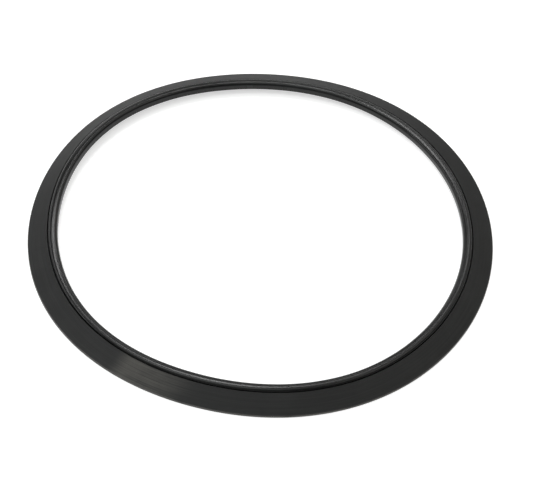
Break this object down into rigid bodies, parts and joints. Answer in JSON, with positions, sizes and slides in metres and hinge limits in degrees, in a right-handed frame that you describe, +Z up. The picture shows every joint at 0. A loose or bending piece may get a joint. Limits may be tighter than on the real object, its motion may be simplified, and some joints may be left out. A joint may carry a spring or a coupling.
{
  "type": "pressure cooker sealing ring",
  "caption": "One-piece moulded rubber sealing ring for a cooker lid: a raised round inner bead with a thin conical flange sloping down to a lip outside it.",
  "frame": {"origin": "centre of the ring, on the plane that its lip rests on", "axes": "+Z up along the ring's axis, from the lip towards the bead; the ring lies slightly oval, longest near X"},
  "size_m": [0.243, 0.2346, 0.009],
  "materials": {
    "black_rubber": "moulded black rubber, satin, with fine rings round the flange"
  },
  "bodies": {
    "root": {"sealing_ring": "black_rubber"}
  },
  "joints": []
}
